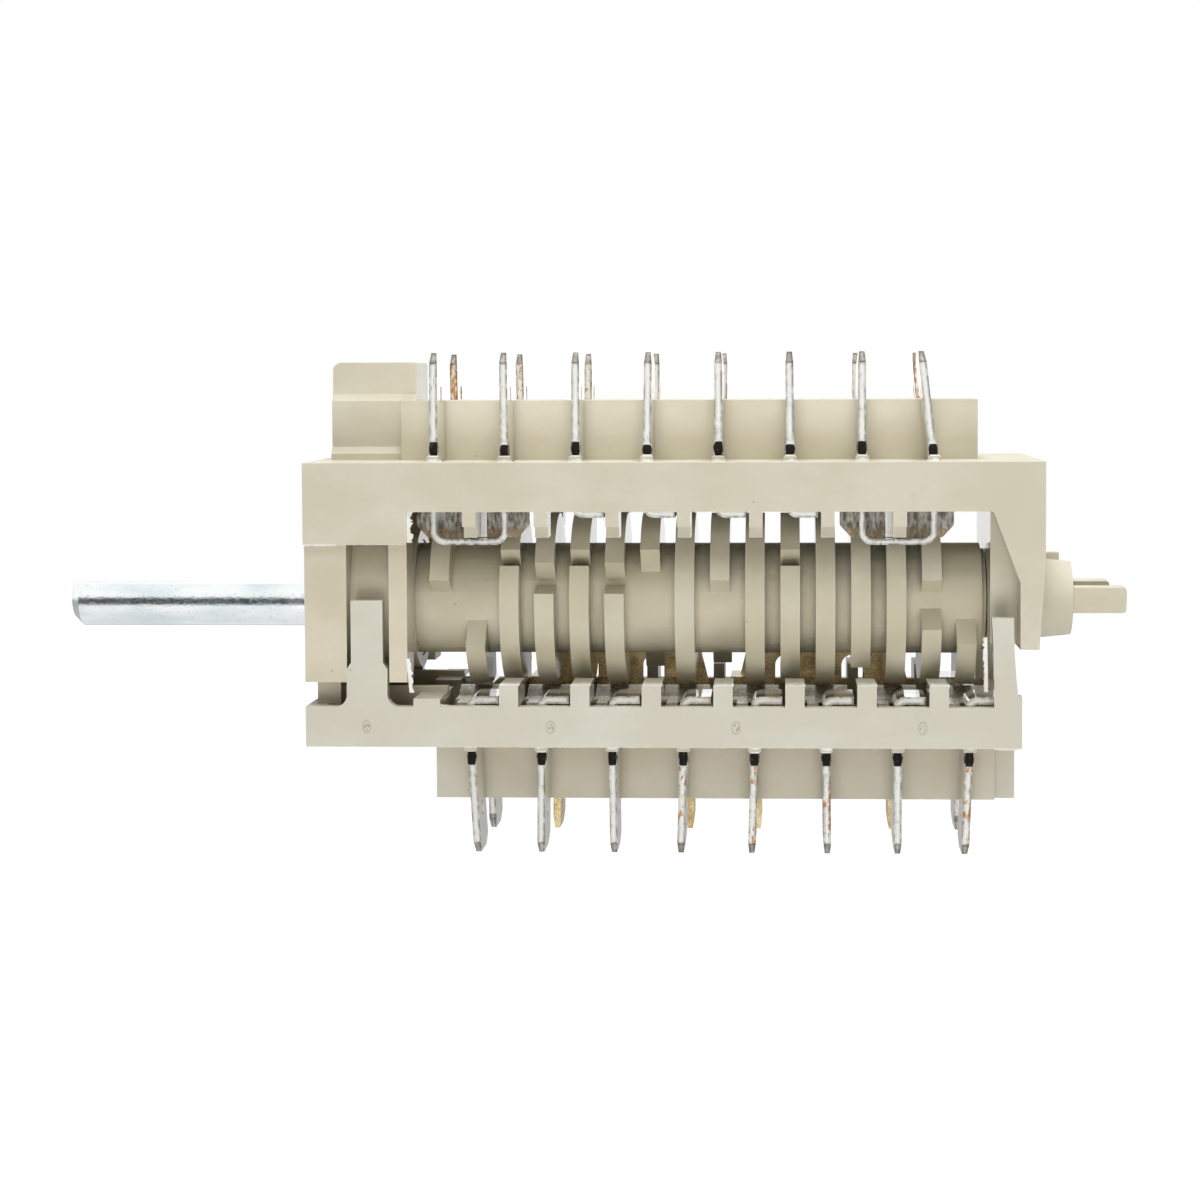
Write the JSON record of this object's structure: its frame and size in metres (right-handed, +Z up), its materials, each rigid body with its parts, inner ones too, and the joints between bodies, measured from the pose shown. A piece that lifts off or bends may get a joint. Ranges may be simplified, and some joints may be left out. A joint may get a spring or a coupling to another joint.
{
  "type": "oven selector switch",
  "caption": "Open-frame rotary cam switch: a D-shaft turns a long cam drum between rows of flat tabs, and each cam track lifts one springy contact blade.",
  "frame": {"origin": "on the shaft axis, in the plane of the mounting face", "axes": "+X along the shaft axis towards the rear coupling, +Y from the front row of tabs to the back row, +Z up towards the raised barrier"},
  "size_m": [0.1115, 0.028, 0.0517],
  "materials": {
    "housing_plastic": "moulded, matt",
    "detent_plastic": "moulded, matt",
    "cam_plastic": "moulded, satin",
    "shaft_steel": "zinc plated, bright",
    "spring_steel": "polished",
    "tab_metal": "tin plated brass, scratched",
    "bridge_brass": "dull brass",
    "blade_metal": "tin plated bronze"
  },
  "bodies": {
    "frame": {"upper_housing": "housing_plastic", "lower_housing": "housing_plastic", "detent_housing": "detent_plastic", "detent_spring": "spring_steel", "top_front_bridge_left": "tab_metal", "top_front_bridge_right": "tab_metal", "top_front_terminal_3": "tab_metal", "top_front_terminal_4": "tab_metal", "top_front_terminal_5": "tab_metal", "top_front_terminal_6": "tab_metal", "top_back_terminal_1": "tab_metal", "top_back_terminal_2": "tab_metal", "top_back_terminal_3": "tab_metal", "top_back_terminal_4": "tab_metal", "top_back_terminal_5": "tab_metal", "top_back_terminal_6": "tab_metal", "top_back_terminal_7": "tab_metal", "top_back_terminal_8": "tab_metal", "bottom_front_terminal_1": "tab_metal", "bottom_front_terminal_2": "tab_metal", "bottom_front_terminal_3": "tab_metal", "bottom_front_terminal_4": "tab_metal", "bottom_front_terminal_5": "tab_metal", "bottom_front_terminal_6": "tab_metal", "bottom_front_terminal_7": "tab_metal", "bottom_front_terminal_8": "tab_metal", "bottom_back_terminal_1": "tab_metal", "bottom_back_bridge_left": "bridge_brass", "bottom_back_bridge_right": "bridge_brass", "bottom_back_terminal_8": "tab_metal"},
    "selector": {"camshaft": "cam_plastic", "selector_shaft": "shaft_steel"},
    "detent_ball": {"detent_ball": "spring_steel"},
    "top_contact_blade_1": {"top_contact_blade_1": "blade_metal"},
    "bottom_contact_blade_1": {"bottom_contact_blade_1": "blade_metal"},
    "top_contact_blade_2": {"top_contact_blade_2": "blade_metal"},
    "bottom_contact_blade_2": {"bottom_contact_blade_2": "blade_metal"},
    "top_contact_blade_3": {"top_contact_blade_3": "blade_metal"},
    "bottom_contact_blade_3": {"bottom_contact_blade_3": "blade_metal"},
    "top_contact_blade_4": {"top_contact_blade_4": "blade_metal"},
    "bottom_contact_blade_4": {"bottom_contact_blade_4": "blade_metal"},
    "top_contact_blade_5": {"top_contact_blade_5": "blade_metal"},
    "bottom_contact_blade_5": {"bottom_contact_blade_5": "blade_metal"},
    "top_contact_blade_6": {"top_contact_blade_6": "blade_metal"},
    "bottom_contact_blade_6": {"bottom_contact_blade_6": "blade_metal"},
    "top_contact_blade_7": {"top_contact_blade_7": "blade_metal"},
    "bottom_contact_blade_7": {"bottom_contact_blade_7": "blade_metal"},
    "top_contact_blade_8": {"top_contact_blade_8": "blade_metal"},
    "bottom_contact_blade_8": {"bottom_contact_blade_8": "blade_metal"}
  },
  "joints": [
    {"name": "selector_turn", "type": "hinge", "parent": "frame", "child": "selector", "pos_m": [0, 0, 0], "axis": [1, 0, 0], "continuous": true},
    {"name": "detent_lift", "type": "slide", "parent": "frame", "child": "detent_ball", "axis": [0, 0, 1], "range_m": [0, 0.0006], "stiffness_N_per_m": 800, "springref_m": -0.001, "deforming": ["detent_spring"]},
    {"name": "top_contact_lift_1", "type": "hinge", "parent": "frame", "child": "top_contact_blade_1", "pos_m": [0.0132, 0.0092, 0.0112], "axis": [-1, 0, 0], "range_deg": [0, 4], "stiffness_Nm_per_rad": 0.05, "springref_deg": -8.59},
    {"name": "bottom_contact_lift_1", "type": "hinge", "parent": "frame", "child": "bottom_contact_blade_1", "pos_m": [0.01682, 0.0092, -0.0104], "axis": [1, 0, 0], "range_deg": [0, 4], "stiffness_Nm_per_rad": 0.05, "springref_deg": -8.59},
    {"name": "top_contact_lift_2", "type": "hinge", "parent": "frame", "child": "top_contact_blade_2", "pos_m": [0.02045, 0.0092, 0.0112], "axis": [-1, 0, 0], "range_deg": [0, 4], "stiffness_Nm_per_rad": 0.05, "springref_deg": -8.59},
    {"name": "bottom_contact_lift_2", "type": "hinge", "parent": "frame", "child": "bottom_contact_blade_2", "pos_m": [0.02407, 0.0092, -0.0104], "axis": [1, 0, 0], "range_deg": [0, 4], "stiffness_Nm_per_rad": 0.05, "springref_deg": -8.59},
    {"name": "top_contact_lift_3", "type": "hinge", "parent": "frame", "child": "top_contact_blade_3", "pos_m": [0.0277, 0.0092, 0.0104], "axis": [-1, 0, 0], "range_deg": [0, 4], "stiffness_Nm_per_rad": 0.05, "springref_deg": -8.59},
    {"name": "bottom_contact_lift_3", "type": "hinge", "parent": "frame", "child": "bottom_contact_blade_3", "pos_m": [0.03132, 0.0092, -0.0104], "axis": [1, 0, 0], "range_deg": [0, 4], "stiffness_Nm_per_rad": 0.05, "springref_deg": -8.59},
    {"name": "top_contact_lift_4", "type": "hinge", "parent": "frame", "child": "top_contact_blade_4", "pos_m": [0.03495, 0.0092, 0.0104], "axis": [-1, 0, 0], "range_deg": [0, 4], "stiffness_Nm_per_rad": 0.05, "springref_deg": -8.59},
    {"name": "bottom_contact_lift_4", "type": "hinge", "parent": "frame", "child": "bottom_contact_blade_4", "pos_m": [0.03857, 0.0092, -0.0104], "axis": [1, 0, 0], "range_deg": [0, 4], "stiffness_Nm_per_rad": 0.05, "springref_deg": -8.59},
    {"name": "top_contact_lift_5", "type": "hinge", "parent": "frame", "child": "top_contact_blade_5", "pos_m": [0.0422, 0.0092, 0.0104], "axis": [-1, 0, 0], "range_deg": [0, 4], "stiffness_Nm_per_rad": 0.05, "springref_deg": -8.59},
    {"name": "bottom_contact_lift_5", "type": "hinge", "parent": "frame", "child": "bottom_contact_blade_5", "pos_m": [0.04582, 0.0092, -0.0104], "axis": [1, 0, 0], "range_deg": [0, 4], "stiffness_Nm_per_rad": 0.05, "springref_deg": -8.59},
    {"name": "top_contact_lift_6", "type": "hinge", "parent": "frame", "child": "top_contact_blade_6", "pos_m": [0.04945, 0.0092, 0.0104], "axis": [-1, 0, 0], "range_deg": [0, 4], "stiffness_Nm_per_rad": 0.05, "springref_deg": -8.59},
    {"name": "bottom_contact_lift_6", "type": "hinge", "parent": "frame", "child": "bottom_contact_blade_6", "pos_m": [0.05307, 0.0092, -0.0104], "axis": [1, 0, 0], "range_deg": [0, 4], "stiffness_Nm_per_rad": 0.05, "springref_deg": -8.59},
    {"name": "top_contact_lift_7", "type": "hinge", "parent": "frame", "child": "top_contact_blade_7", "pos_m": [0.0567, 0.0092, 0.0112], "axis": [-1, 0, 0], "range_deg": [0, 4], "stiffness_Nm_per_rad": 0.05, "springref_deg": -8.59},
    {"name": "bottom_contact_lift_7", "type": "hinge", "parent": "frame", "child": "bottom_contact_blade_7", "pos_m": [0.06032, 0.0092, -0.0104], "axis": [1, 0, 0], "range_deg": [0, 4], "stiffness_Nm_per_rad": 0.05, "springref_deg": -8.59},
    {"name": "top_contact_lift_8", "type": "hinge", "parent": "frame", "child": "top_contact_blade_8", "pos_m": [0.06395, 0.0092, 0.0112], "axis": [-1, 0, 0], "range_deg": [0, 4], "stiffness_Nm_per_rad": 0.05, "springref_deg": -8.59},
    {"name": "bottom_contact_lift_8", "type": "hinge", "parent": "frame", "child": "bottom_contact_blade_8", "pos_m": [0.06757, 0.0092, -0.0104], "axis": [1, 0, 0], "range_deg": [0, 4], "stiffness_Nm_per_rad": 0.05, "springref_deg": -8.59}
  ]
}
